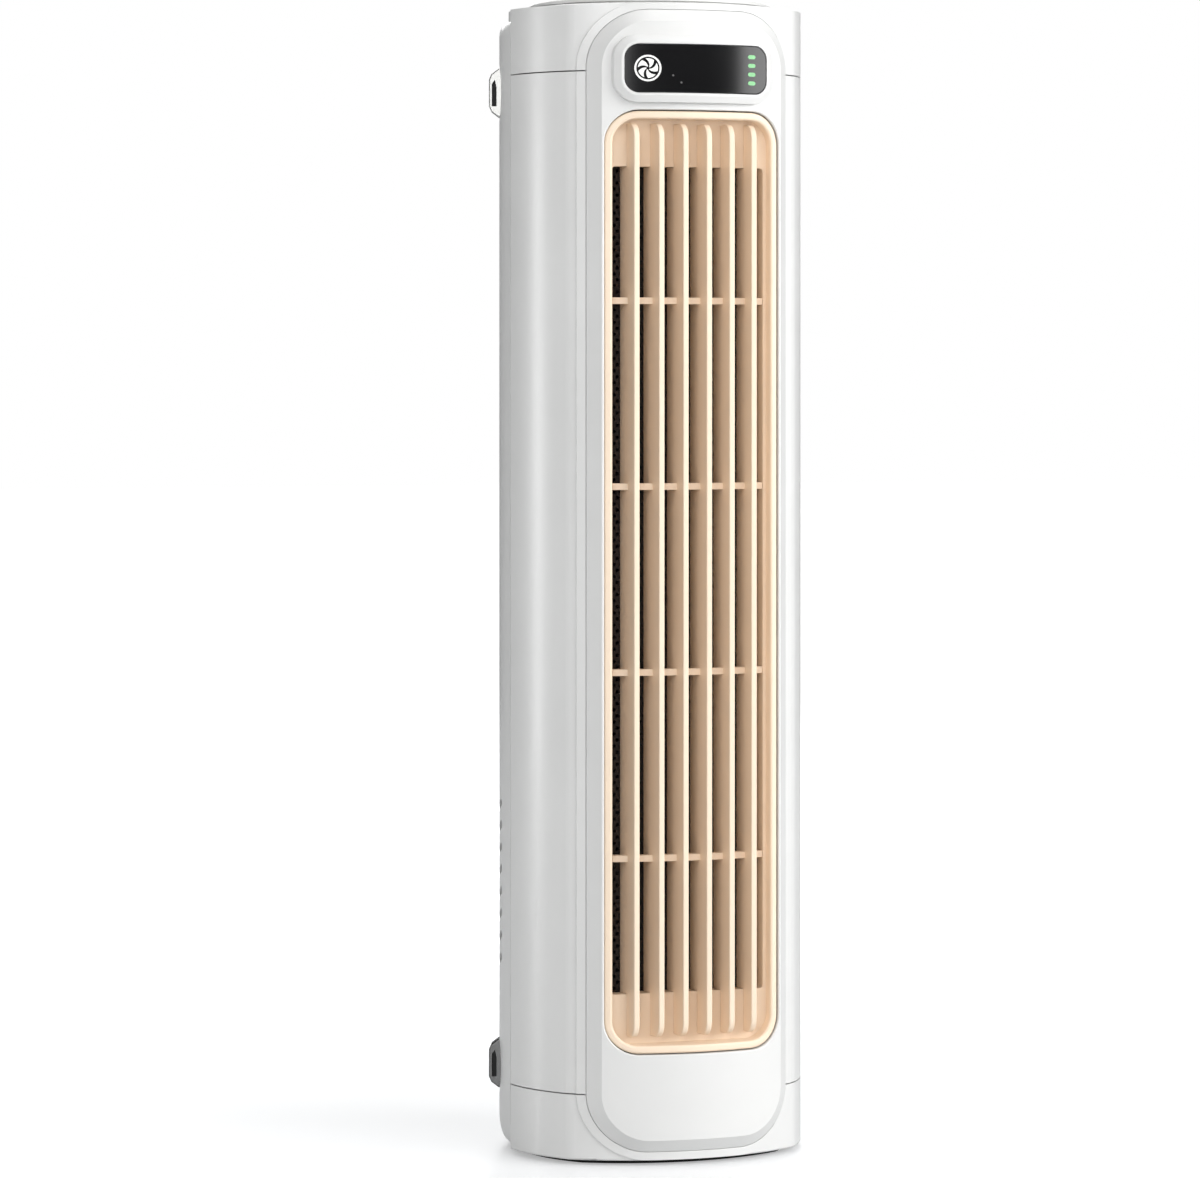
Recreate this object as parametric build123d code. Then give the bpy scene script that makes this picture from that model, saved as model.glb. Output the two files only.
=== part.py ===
from build123d import *
import math
import os

# Portable tower fan: a slim upright case with a raised front panel, a slatted air outlet,
# a touch display and, inside, a battery bay, a mixed-flow blower and an air duct.
# Millimetres, +Z up, front towards -Y, origin under the foot on the case's axis.
# Every height below is measured from the bottom edge of the case; save() adds the foot.

# ---- driving dimensions ----
FOOT_H = 1.4
FOOT_INSET = 5.0
GAP = 0.12

# Case: a round body flattened at the front by a gentler arc
BODY_R = 44.0
REAR_R = 41.3
INNER_R = 39.3
FRONT_R = 60.5
FRONT_CY = 21.7
WALL = 2.1
FRONT_WALL = 1.5
COVER_SEAM_Y = -2.9
COVER_SEAM_W = 0.3
SEAM_LOW = 18.8
SEAM_HIGH = 310.1
CASE_TOP = 329.0
ROOF_RISE = 0.95
ROOF_R = 35.3
LID_SEAT_R = 34.8
LID_GAP = 0.35
SEAM_W = 0.35
LAND_W = 2.4
LAND_RISE = 0.5
FRONT_ROUND = 8.0

# Raised front panel
PANEL_HALF = 30.4
PANEL_LOW = 2.6
PANEL_HIGH = 327.5
PANEL_CORNER = 16.5
PANEL_BACK_R = 58.8
FACE_R = 63.0
BEVEL_FACE = 3.5
BEVEL_WALL = 2.5

# Air outlet
RIM_HALF = 26.2
RIM_LOW = 30.7
RIM_HIGH = 298.6
RIM_CORNER = 9.2
RIM_W = 2.2
RIM_GAP = 0.3
RIM_R = 62.2
TRAY_Y = -31.8
TRAY_T = 1.6
COLLAR_T = 1.4
COLLAR_Y = -26.3
MOUTH_HALF = 23.0
MOUTH_LOW = 47.0
MOUTH_HIGH = 283.0
MESH_T = 0.6
SLAT_COUNT = 6
SLAT_PITCH = 7.13
SLAT_T = 1.7
SLAT_FRONT_Y = -40.1
SLAT_ARC_R = 95.0
SLAT_LOW = 35.0
SLAT_HIGH = 295.2
SLAT_END_R = 4.2
SLAT_NOSE_R = 0.35
RIB_COUNT = 4
RIB_FIRST_Z = 85.7
RIB_PITCH = 53.0
RIB_H = 1.85
RIB_SETBACK = 5.4
RIB_DEPTH = 3.2

# Display
POD_X = -0.7
POD_HALF = 24.1
POD_LOW = 300.9
POD_HIGH = 320.1
POD_CORNER = 6.7
POD_R = 65.8
POD_SHOULDER = 1.9
POD_DROP = 0.9
NECK_HALF = 22.3
GLASS_HALF = 21.4
GLASS_LOW = 303.65
GLASS_HIGH = 317.35
GLASS_CORNER = 4.0
GLASS_R = 65.55
GLASS_T = 1.2
DISPLAY_Z = (GLASS_LOW + GLASS_HIGH) / 2
TOUCH_X = -15.5
INDICATOR_X = 15.7
INDICATOR_COUNT = 4
INDICATOR_PITCH = 2.5
BOARD_Y = -36.0
BOARD_T = 1.5
BOARD_HALF = 17.2
DISPLAY_SCREW_X = (-6.0, 7.0)

# Rear cover, its vents and the strap loops
COVER_LOW = 1.0
COVER_HIGH = 326.0
COVER_IN_R = 41.5
VENT_ROWS = 8
VENT_PITCH = 6.4
VENT_FIRST_Z = 53.0
VENT_COLUMNS = 8
VENT_FIELD = 172.0
VENT_ARC = 15.0
VENT_W = 2.4
VENT_SLOPE = 20.0
LOOP_ANGLE = 20.0
LOOP_Z = (22.7, 305.8)
LOOP_W = 5.0
LOOP_R = 47.0
LOOP_SEAT_R = 42.5
LOOP_SEAT_HALF = 7.9
SLOT_IN = 44.75
SLOT_OUT = 46.15
SLOT_HALF = 3.9
PLUG_RECESS = 0.7

# Blower, on its own vertical axis behind the outlet
BLOWER_Y = 8.6
SHROUD_R = 30.5
SHROUD_T = 1.5
SHROUD_LOW = 56.1
SHROUD_HIGH = 92.0
IMPELLER_R = 28.2
IMPELLER_LOW = 60.5
IMPELLER_HIGH = 88.0
BLADE_COUNT = 9
BLADE_TWIST = 42.0
VANE_COUNT = 11
SHAFT_R = 1.5
SHAFT_CLEARANCE = 0.03
BEARING_R = 4.0
DUCT_LOW = 116.0
DUCT_HIGH = 300.0
DUCT_R = 38.7
DUCT_FRONT_Y = -25.6
DUCT_T = 1.4

# Electronics bay
DECK_Z = 44.0
DECK_T = 2.0
CELL_R = 9.25
CELL_L = 65.0
CELL_Y = (-8.0, 11.5)
CELL_Z = 14.4
PCB_Z = 28.0
PCB_T = 1.6
PCB_R = 33.5
PORT_W = 8.9
PORT_H = 3.2
CABLE_X = 34.0
CABLE_Y = -21.0


# ---- shared shapes ----
def save(name, shape):
    """Write one sub-part, lifted so that the rubber foot stands on z = 0."""
    solids = [Pos(0, 0, FOOT_H) * solid for solid in shape.solids()]
    whole = solids[0] if len(solids) == 1 else Compound(solids)
    whole.label = name
    export_step(whole, f"parts/{name}.step")


def rod(radius, z_low, z_high, x=0.0, y=0.0):
    """Vertical cylinder between two heights."""
    return Pos(x, y, z_low) * extrude(Circle(radius), z_high - z_low)


def tube(outer, inner, z_low, z_high, x=0.0, y=0.0):
    """Vertical ring between two heights."""
    return Pos(x, y, z_low) * extrude(Circle(outer) - Circle(inner), z_high - z_low)


def block(x_low, x_high, y_low, y_high, z_low, z_high):
    """Box given by its low and high sides."""
    middle = Pos((x_low + x_high) / 2, (y_low + y_high) / 2, (z_low + z_high) / 2)
    return middle * Box(x_high - x_low, y_high - y_low, z_high - z_low)


def face_prism(half_w, z_low, z_high, corner, y_back, y_front):
    """Rounded rectangle drawn on the front view and pushed from y_back to y_front."""
    outline = RectangleRounded(2 * half_w, z_high - z_low, corner)
    return Pos(0, y_back, (z_low + z_high) / 2) * Rot(90, 0, 0) * extrude(outline, y_back - y_front)


def front_drum(radius, z_low=-5.0, z_high=340.0):
    """Cylinder on the axis of the front arc."""
    return rod(radius, z_low, z_high, 0, FRONT_CY)


def front_shell(outer, inner, z_low=-5.0, z_high=340.0):
    """Shell between two radii of the front arc."""
    return tube(outer, inner, z_low, z_high, 0, FRONT_CY)


def front_y(x, radius):
    """Depth of the front arc of a given radius at a given x."""
    return FRONT_CY - math.sqrt(radius ** 2 - x ** 2)


def front_pin(radius, x, z, y_back, y_front):
    """Cylinder that points to the front."""
    return Pos(x, y_back, z) * Rot(90, 0, 0) * extrude(Circle(radius), y_back - y_front)


def around(shape, count, centre_y=0.0):
    """Copies of a shape spaced evenly around a vertical axis."""
    step = 360.0 / count
    return [Pos(0, centre_y, 0) * Rot(0, 0, i * step) * shape for i in range(count)]


def circle_places(radius, angles, centre_y=0.0):
    """Points on a circle, in plan."""
    turns = [math.radians(a) for a in angles]
    return [(radius * math.cos(t), centre_y + radius * math.sin(t)) for t in turns]


# ---- case ----
def case_block(z_low, z_high):
    """Solid case outline: round, flattened at the front, with a seat for the rear cover."""
    solid = rod(BODY_R, z_low, z_high) & front_drum(FRONT_R - LAND_RISE, z_low, z_high)
    corners = [e for e in solid.edges().filter_by(Axis.Z) if abs(e.center().X) > 30]
    return fillet(corners, FRONT_ROUND) - cover_bed(z_low - 1, z_high + 5)


def panel_land(z_low, z_high):
    """Raised band that follows the outline of the front panel."""
    band = face_prism(
        PANEL_HALF + LAND_W, PANEL_LOW - LAND_W, PANEL_HIGH + LAND_W, PANEL_CORNER + LAND_W, -20, -60
    )
    return band & front_drum(FRONT_R, z_low, z_high)


def case_cavity(z_low, z_high):
    """Inside of the case: thick enough at the rear to carry the cover."""
    sides = rod(BODY_R - WALL, z_low, z_high) & block(-50, 50, -50, COVER_SEAM_Y - WALL, z_low, z_high)
    return (sides + rod(INNER_R, z_low, z_high)) & front_drum(FRONT_R - FRONT_WALL, z_low, z_high)


def cover_bed(z_low, z_high):
    """What the rear cover's seat takes away from the case."""
    ring = tube(BODY_R + 5, REAR_R, z_low, z_high)
    return ring & block(-60, 60, COVER_SEAM_Y, 60, z_low, z_high)


def panel_bed():
    """Recess that the front panel drops into, through the case's front wall."""
    hole = face_prism(PANEL_HALF + GAP, PANEL_LOW - GAP, PANEL_HIGH + GAP, PANEL_CORNER + GAP, -15, -60)
    return hole - front_drum(PANEL_BACK_R - GAP)


def radial(angle, z):
    """Place with its own Z pointing outwards from the case's axis."""
    return Rot(0, 0, angle) * Pos(0, 0, z) * Rot(0, 90, 0)


def cover_screw_places():
    return [radial(90 + side * 35, z) for side in (-1, 1) for z in (11.0, 318.0)]


def screw_bosses(places):
    """Bosses on the inside wall that the cover screws bite into."""
    return [p * Pos(0, 0, 35.5) * extrude(Circle(2.8), INNER_R + 0.6 - 35.5) for p in places]


def screw_holes(places):
    return [p * Pos(0, 0, 34) * extrude(Circle(1.25), 12) for p in places]


def make_base_cap():
    z_high = SEAM_LOW - SEAM_W / 2
    outer = case_block(0, z_high)
    outer = fillet(outer.edges().group_by(Axis.Z)[0], 0.6)
    cap = outer + panel_land(0, z_high) - case_cavity(4.6, z_high + 1)
    cap -= rod(38.4, -1, 2.4)
    cap -= rod(30.0, 2, 5)
    places = cover_screw_places()[0::2]
    cap += screw_bosses(places)
    cap -= screw_holes(places)
    cap -= panel_bed()
    cap -= [rod(1.2, 1, 6, x, y) for x, y in base_screw_places()]
    return cap


def base_screw_places():
    return circle_places(34.0, (90, 210, 330))


def make_base_plate():
    plate = rod(38.2, 0.4, 2.3)
    plate = fillet(plate.edges().group_by(Axis.Z)[0], 0.4)
    for x, y in base_screw_places():
        plate -= rod(1.4, -1, 3, x, y)
        plate -= rod(2.6, -1, 1.2, x, y)
    return plate


def make_base_screws():
    screws = []
    for x, y in base_screw_places():
        screw = rod(1.2, 1.1, 4.5, x, y) + rod(2.4, 0.5, 1.2, x, y)
        screw -= block(x - 1.4, x + 1.4, y - 0.25, y + 0.25, 0, 0.8)
        screw -= block(x - 0.25, x + 0.25, y - 1.4, y + 1.4, 0, 0.8)
        screws.append(screw)
    return Compound(children=screws)


def make_foot_pad():
    """Rubber foot that follows the outline of the case, set in from its edge."""
    pad = rod(BODY_R - FOOT_INSET, -FOOT_H, -0.02) & front_drum(FRONT_R - FOOT_INSET)
    return fillet(pad.edges().group_by(Axis.Z)[0], 0.3)


def make_body_sleeve():
    z_low = SEAM_LOW + SEAM_W / 2
    z_high = SEAM_HIGH - SEAM_W / 2
    sleeve = case_block(z_low, z_high) + panel_land(z_low, z_high)
    sleeve -= case_cavity(z_low - 1, z_high + 1)
    sleeve += tube(INNER_R + 0.5, 36.8, DECK_Z - 2.4, DECK_Z) & block(-45, 45, -12, 45, 0, 60)
    for angle in range(-75, 76, 25):
        window = block(35, 45, -7.0, 7.0, 49.5, 102.5)
        sleeve -= Rot(0, 0, 90 + angle) * window
    sleeve -= port_hole(0.3)
    sleeve -= panel_bed()
    return sleeve


def port_hole(margin):
    """Slot through the rear wall for the charging port."""
    z = PCB_Z + PCB_T + PORT_H / 2
    slot = RectangleRounded(PORT_W + 0.4 + 2 * margin, PORT_H + 0.4 + 2 * margin, 1.6)
    return Pos(0, 50, z) * Rot(90, 0, 0) * extrude(slot, 15)


def roof(z_low):
    """Room under a shallow cone that rises from the case's edge to the lid."""
    profile = Polyline((0, z_low), (BODY_R + 5, z_low), (BODY_R + 5, CASE_TOP - 0.55), (BODY_R, CASE_TOP),
                       (ROOF_R, CASE_TOP + ROOF_RISE), (0, CASE_TOP + ROOF_RISE), close=True)
    return revolve(Plane.XZ * make_face(profile), Axis.Z, 360)


def make_top_cap():
    z_low = SEAM_HIGH + SEAM_W / 2
    outer = case_block(z_low, CASE_TOP + 2) + panel_land(z_low, CASE_TOP + 2)
    cap = (outer & roof(z_low - 1)) - case_cavity(z_low - 1, CASE_TOP - 3.9)
    cap -= rod(LID_SEAT_R, CASE_TOP - 2.0, CASE_TOP + 3)
    places = cover_screw_places()[1::2]
    cap += screw_bosses(places)
    cap -= screw_holes(places)
    cap -= panel_bed()
    return cap


def make_top_lid():
    """Round lid that overhangs its seat and leaves a fine shadow gap under its rim."""
    rim_z = CASE_TOP + ROOF_RISE + LID_GAP
    lid = rod(ROOF_R, rim_z, rim_z + 1.0)
    lid = fillet(lid.edges().group_by(Axis.Z)[-1], 0.6)
    return lid + rod(LID_SEAT_R - 0.3, CASE_TOP - 1.95, rim_z + 0.1)


# ---- rear cover ----
def cover_profile():
    """Section of the cover wall: rounded long at the foot and short at the shoulder."""
    foot = EllipticalCenterArc((BODY_R - 2.35, COVER_LOW + 8), 2.35, 8, start_angle=270, arc_size=90)
    head = EllipticalCenterArc((BODY_R - 2.0, COVER_HIGH - 4), 2.0, 4, start_angle=0, arc_size=90)
    outer = Line(foot @ 1, head @ 0)
    top = Line(head @ 1, (COVER_IN_R, COVER_HIGH))
    inner = Line((COVER_IN_R, COVER_HIGH), (COVER_IN_R, COVER_LOW))
    bottom = Line((COVER_IN_R, COVER_LOW), foot @ 0)
    return Plane.XZ * make_face(Wire([foot, outer, head, top, inner, bottom]))


def make_rear_cover():
    edge = math.degrees(math.asin(-(COVER_SEAM_Y + COVER_SEAM_W) / BODY_R))
    ring = revolve(cover_profile(), Axis.Z, 180 + 2 * edge)
    cover = Rot(0, 0, -edge) * ring
    if cover.center().Y < 0:
        cover = mirror(cover, Plane.XZ)
    cover -= vent_cutters()
    for z in LOOP_Z:
        for angle in (LOOP_ANGLE, 180 - LOOP_ANGLE):
            cover -= radial(angle, z) * Pos(0, 0, LOOP_SEAT_R) * extrude(Circle(LOOP_SEAT_HALF), 6)
            cover -= radial(angle, z) * Pos(0, 0, BODY_R - 0.7) * Cone(
                LOOP_SEAT_HALF, LOOP_SEAT_HALF + 1.6, 1.2, align=(Align.CENTER, Align.CENTER, Align.MIN)
            )
    for place in cover_screw_places():
        cover -= place * Pos(0, 0, 38) * extrude(Circle(1.6), 10)
        cover -= place * Pos(0, 0, 42.6) * extrude(Circle(3.0), 5)
    cover -= port_hole(0)
    return cover


def vent_cutters():
    """Sloped slots in rows and columns, mirrored left and right."""
    step = VENT_FIELD / VENT_COLUMNS
    length = BODY_R * math.radians(VENT_ARC)
    cutters = []
    for column in range(VENT_COLUMNS):
        angle = 90 + (column + 0.5 - VENT_COLUMNS / 2) * step
        lean = VENT_SLOPE if angle > 90 else -VENT_SLOPE
        for row in range(VENT_ROWS):
            slot = extrude(SlotOverall(length, VENT_W), 12)
            turned = Rot(0, 0, 90 + lean) * slot
            cutters.append(radial(angle, VENT_FIRST_Z + row * VENT_PITCH) * Pos(0, 0, 36) * turned)
    return cutters


def make_cover_screws():
    screws = []
    for place in cover_screw_places():
        shank = Pos(0, 0, 36.2) * extrude(Circle(1.25), 6.6)
        head = Pos(0, 0, 42.6) * extrude(Circle(2.7), 1.1)
        cross = Pos(0, 0, 43.9) * Box(2.8, 0.5, 1.4) + Pos(0, 0, 43.9) * Box(0.5, 2.8, 1.4)
        screws.append(place * (shank + head - cross))
    return Compound(children=screws)


def strap_slot(margin):
    """Outline of the slot that a strap runs through, narrower at its upper end."""
    low, high = SLOT_IN + margin, SLOT_OUT - margin
    half = SLOT_HALF - margin
    return make_face(Polyline((low, -half), (high, -half), (high, half - 1.2), (low + 0.5, half),
                              (low, half - 2.2), close=True))


def make_strap_loops(z):
    """A metal lug on each side, standing in its round recess, with a slot across it."""
    foot = LOOP_SEAT_R + 0.05
    outer = Polyline((foot, -7.3), (LOOP_R - 2.8, -7.1), (LOOP_R - 0.7, -5.5), (LOOP_R, -3.9), (LOOP_R, 3.9),
                     (LOOP_R - 0.7, 5.5), (LOOP_R - 2.8, 7.1), (foot, 7.3), close=True)
    lug = Rot(90, 0, 0) * extrude(make_face(outer), LOOP_W / 2, both=True)
    lug = fillet(lug.edges().filter_by(Axis.Y, reverse=True), 0.4)
    lug -= Rot(90, 0, 0) * extrude(strap_slot(0), LOOP_W, both=True)
    return Compound(children=[Pos(0, 0, z) * Rot(0, 0, a) * lug for a in (LOOP_ANGLE, 180 - LOOP_ANGLE)])


def make_strap_slot_plugs():
    """Soft plugs that close the four slots while no strap is fitted."""
    plug = Rot(90, 0, 0) * extrude(strap_slot(0.02), LOOP_W / 2 - PLUG_RECESS, both=True)
    places = [Pos(0, 0, z) * Rot(0, 0, a) for z in LOOP_Z for a in (LOOP_ANGLE, 180 - LOOP_ANGLE)]
    return Compound(children=[place * plug for place in places])


# ---- front panel ----
def make_front_panel():
    blank = face_prism(PANEL_HALF, PANEL_LOW, PANEL_HIGH, PANEL_CORNER, -15, -60)
    blank &= front_shell(FACE_R, PANEL_BACK_R)
    face = blank.faces().sort_by(Axis.Y)[0]
    panel = chamfer(face.edges(), BEVEL_FACE, BEVEL_WALL, reference=face)
    panel -= face_prism(
        RIM_HALF + RIM_GAP, RIM_LOW - RIM_GAP, RIM_HIGH + RIM_GAP, RIM_CORNER + RIM_GAP, -15, -60
    )
    opening = [e for e in panel.faces().sort_by(Axis.Y)[0].edges() if abs(e.center().X) < RIM_HALF + 1
               and RIM_LOW - 1 < e.center().Z < RIM_HIGH + 1]
    panel = fillet(opening, 0.4)
    neck = face_prism(NECK_HALF + GAP, POD_LOW + 1.3, POD_HIGH - 1.3, POD_CORNER - 1.3, -15, -60)
    panel -= Pos(POD_X, 0, 0) * neck
    low_pocket = face_prism(24.5, 8.5, 27.5, 9.0, -15, -60)
    panel -= low_pocket & front_drum(FACE_R - 2.4)
    return panel


def make_display_bezel():
    pod = Pos(POD_X, 0, 0) * face_prism(POD_HALF, POD_LOW, POD_HIGH, POD_CORNER, -15, -60)
    pod &= front_shell(POD_R, FACE_R)
    face = pod.faces().sort_by(Axis.Y)[0]
    pod = chamfer(face.edges(), POD_SHOULDER, POD_DROP, reference=face)
    seat = Pos(POD_X, 0, 0) * face_prism(
        GLASS_HALF + GAP, GLASS_LOW - GAP, GLASS_HIGH + GAP, GLASS_CORNER + GAP, -15, -60
    )
    pod -= seat - front_drum(GLASS_R - GLASS_T)
    pod = fillet(pod.faces().sort_by(Axis.Y)[0].edges(), 0.2)
    neck = face_prism(NECK_HALF, POD_LOW + 1.4, POD_HIGH - 1.4, POD_CORNER - 1.4, -15, -60)
    neck = Pos(POD_X, 0, 0) * neck & front_shell(FACE_R, FACE_R - 2.6)
    bezel = pod + neck
    bezel -= front_pin(5.2, TOUCH_X, DISPLAY_Z, -30, -50)
    bezel -= Pos(INDICATOR_X, -40, DISPLAY_Z) * Box(2.7, 20, INDICATOR_COUNT * INDICATOR_PITCH + 0.4)
    for x in DISPLAY_SCREW_X:
        boss = front_pin(1.9, x, DISPLAY_Z, BOARD_Y - GAP, -41)
        bezel += boss & front_drum(FACE_R - 1)
        bezel -= front_pin(0.8, x, DISPLAY_Z, -30, -39)
    return bezel


def make_touch_glass():
    pane = Pos(POD_X, 0, 0) * face_prism(GLASS_HALF, GLASS_LOW, GLASS_HIGH, GLASS_CORNER, -15, -60)
    pane &= front_shell(GLASS_R, GLASS_R - GLASS_T + 0.05)
    face = pane.faces().sort_by(Axis.Y)[0]
    return fillet(face.edges(), 0.25)


def make_touch_electrode():
    pad = front_pin(4.6, TOUCH_X, DISPLAY_Z, -37.2, -38.3)
    return pad + front_pin(1.1, TOUCH_X, DISPLAY_Z, BOARD_Y - 0.05, -37.5)


def indicator_heights():
    middle = (INDICATOR_COUNT - 1) / 2
    return [DISPLAY_Z + (i - middle) * INDICATOR_PITCH for i in range(INDICATOR_COUNT)]


def make_indicator_light_guides():
    front = front_y(INDICATOR_X - 1, GLASS_R - GLASS_T)
    guides = []
    for z in indicator_heights():
        guides.append(block(INDICATOR_X - 1, INDICATOR_X + 1, front + 1.0, -36.8, z - 0.5, z + 0.5))
    return Compound(children=guides)


def make_display_pcb():
    board = block(-BOARD_HALF, BOARD_HALF, BOARD_Y, BOARD_Y + BOARD_T, DISPLAY_Z - 6, DISPLAY_Z + 6)
    for x in DISPLAY_SCREW_X:
        board -= front_pin(1.0, x, DISPLAY_Z, -30, -40)
    board += block(-3, 3, BOARD_Y + BOARD_T, BOARD_Y + BOARD_T + 1.2, DISPLAY_Z - 5.5, DISPLAY_Z - 2.2)
    board += block(11, 17, BOARD_Y + BOARD_T, BOARD_Y + BOARD_T + 3, DISPLAY_Z - 5, DISPLAY_Z + 3)
    return board


def make_indicator_leds():
    leds = []
    for z in indicator_heights():
        leds.append(block(INDICATOR_X - 0.8, INDICATOR_X + 0.8, -36.7, BOARD_Y - 0.02, z - 0.4, z + 0.4))
    return Compound(children=leds)


def make_display_screws():
    screws = []
    for x in DISPLAY_SCREW_X:
        back = BOARD_Y + BOARD_T
        screw = front_pin(0.8, x, DISPLAY_Z, back + 0.5, -38.8)
        screw += front_pin(1.7, x, DISPLAY_Z, back + 1.2, back + 0.02)
        screws.append(screw)
    return Compound(children=screws)


# ---- air outlet ----
def make_outlet_bezel():
    """Rim, recess walls, the tray behind the slats' ends and the collar of the mouth."""
    outer = face_prism(RIM_HALF, RIM_LOW, RIM_HIGH, RIM_CORNER, TRAY_Y + TRAY_T, -60) & front_drum(RIM_R)
    collar = face_prism(
        MOUTH_HALF + COLLAR_T, MOUTH_LOW - COLLAR_T, MOUTH_HIGH + COLLAR_T, 2.0, COLLAR_Y, TRAY_Y + 0.5
    )
    recess = face_prism(
        RIM_HALF - RIM_W, RIM_LOW + RIM_W, RIM_HIGH - RIM_W, RIM_CORNER - RIM_W, TRAY_Y, -60
    )
    bezel = outer - recess
    rim = bezel.faces().sort_by(Axis.Y)[0]
    bezel = fillet(rim.edges(), 0.7) + collar
    bezel -= face_prism(MOUTH_HALF, MOUTH_LOW, MOUTH_HIGH, 1.0, -20, -35)
    return bezel


def slat_positions():
    middle = (SLAT_COUNT - 1) / 2
    return [(i - middle) * SLAT_PITCH for i in range(SLAT_COUNT)]


def slat_arc(setback, z_low, z_high):
    """Drum whose surface runs along the slats' front edges, or a set distance behind them."""
    return rod(SLAT_ARC_R - setback, z_low, z_high, 0, SLAT_FRONT_Y + SLAT_ARC_R)


def make_slat(x):
    """One slat: rounded ends over the tray and a deeper fin that reaches into the mouth."""
    front = SLAT_FRONT_Y + SLAT_ARC_R - math.sqrt(SLAT_ARC_R ** 2 - x ** 2)
    low, high = x - SLAT_T / 2, x + SLAT_T / 2
    slat = block(low, high, front, TRAY_Y - GAP, SLAT_LOW, SLAT_HIGH)
    ends = slat.edges().filter_by(Axis.X).sort_by(Axis.Y)[:2]
    slat = fillet(ends, SLAT_END_R)
    nose = [e for e in slat.edges() if e.center().Y < front + 1.8 and abs(e.center().X - x) > 0.5]
    slat = fillet(nose, SLAT_NOSE_R)
    return slat + block(low, high, TRAY_Y - 1, COLLAR_Y - GAP, MOUTH_LOW + GAP, MOUTH_HIGH - GAP)


def make_outlet_louvre():
    """Upright slats tied together by level ribs set back between them."""
    louvre = Part() + [make_slat(x) for x in slat_positions()]
    half = MOUTH_HALF - GAP
    for i in range(RIB_COUNT):
        z = RIB_FIRST_Z + i * RIB_PITCH
        rib = slat_arc(RIB_SETBACK, z - RIB_H / 2, z + RIB_H / 2)
        rib -= slat_arc(RIB_SETBACK + RIB_DEPTH, z - RIB_H, z + RIB_H)
        louvre += rib & block(-half, half, -50, 0, z - RIB_H, z + RIB_H)
    return louvre


def make_outlet_mesh():
    """Thin sheet clamped between the collar and the duct."""
    half, low, high = MOUTH_HALF + COLLAR_T, MOUTH_LOW - COLLAR_T, MOUTH_HIGH + COLLAR_T
    return face_prism(half, low, high, 2.0, COLLAR_Y + 0.02 + MESH_T, COLLAR_Y + 0.02)


# ---- duct and blower ----
def make_air_duct():
    half = MOUTH_HALF + 2.0
    drum = rod(DUCT_R, DUCT_LOW, DUCT_HIGH) & block(-50, 50, DUCT_FRONT_Y, 50, DUCT_LOW, DUCT_HIGH)
    room = rod(DUCT_R - DUCT_T, DUCT_LOW + DUCT_T, DUCT_HIGH - DUCT_T)
    room &= block(-50, 50, DUCT_FRONT_Y + DUCT_T, 50, DUCT_LOW, DUCT_HIGH)
    leg = block(-half, half, DUCT_FRONT_Y, DUCT_FRONT_Y + 3.4, DECK_Z + DECK_T + 0.1, DUCT_LOW + 4)
    leg_room = block(-half + 1, half - 1, DUCT_FRONT_Y - 1, DUCT_FRONT_Y + 2.4, MOUTH_LOW, DUCT_LOW + 5)
    duct = drum + leg - room - leg_room
    duct -= block(-half + 1, half - 1, DUCT_FRONT_Y - 1, DUCT_FRONT_Y + 5, DUCT_LOW + 4, MOUTH_HIGH + 1)
    duct -= rod(SHROUD_R - SHROUD_T, DUCT_LOW - 1, DUCT_LOW + 3, 0, BLOWER_Y)
    return duct


def twisted_blades(count, r_in, r_out, thick, z_low, z_high, twist):
    """Blades that lean over as they rise, spaced around the blower's axis."""
    length = r_out - r_in
    section = Pos((r_in + r_out) / 2, 0, z_low) * Rectangle(length, thick)
    blade = Solid.extrude_linear_with_rotation(
        section.face(), (0, 0, z_low), (0, 0, z_high - z_low), twist
    )
    return around(blade, count, BLOWER_Y)


def make_impeller():
    profile = Polyline((11.05, IMPELLER_LOW), (12.6, IMPELLER_LOW), (15.2, 84), (12.0, 87.2),
                       (6.0, IMPELLER_HIGH), (0, IMPELLER_HIGH), (0, 85.8), (9.0, 84.6),
                       (9.0, 80.1), (11.05, 80.1), close=True)
    hub = Pos(0, BLOWER_Y, 0) * revolve(Plane.XZ * make_face(profile), Axis.Z, 360)
    blades = twisted_blades(BLADE_COUNT, 12.2, IMPELLER_R, 1.2, IMPELLER_LOW + 0.6, 83.6, BLADE_TWIST)
    return hub + blades


def make_motor_rotor():
    rotor = tube(11.0, 9.9, 62.0, 80.0, 0, BLOWER_Y)
    rotor += tube(11.0, SHAFT_R, 78.4, 80.0, 0, BLOWER_Y)
    rotor += tube(3.2, SHAFT_R, 75.6, 78.5, 0, BLOWER_Y)
    return rotor


def make_rotor_magnet():
    return tube(9.88, 9.0, 62.5, 77.0, 0, BLOWER_Y)


def make_motor_shaft():
    return rod(SHAFT_R, 57.0, 79.9, 0, BLOWER_Y)


def make_motor_bearings():
    bore = SHAFT_R + SHAFT_CLEARANCE
    return Compound(children=[tube(BEARING_R, bore, z, z + 3, 0, BLOWER_Y) for z in (58.0, 72.0)])


def make_motor_stator():
    core = tube(6.6, 5.55, 63.5, 75.0, 0, BLOWER_Y)
    tooth = block(6.3, 8.0, -0.7, 0.7, 63.5, 75.0) + (
        tube(8.75, 7.8, 63.5, 75.0) & block(5, 10, -2.3, 2.3, 60, 80)
    )
    return core + around(tooth, 9, BLOWER_Y)


def make_motor_windings():
    coil = block(6.75, 7.7, -1.25, 1.25, 62.9, 75.6) - block(6, 9, -0.72, 0.72, 63.4, 75.1)
    return Compound(children=around(coil, 9, BLOWER_Y))


def mount_screw_places():
    return circle_places(26.4, (30, 150, 270), BLOWER_Y)


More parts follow.
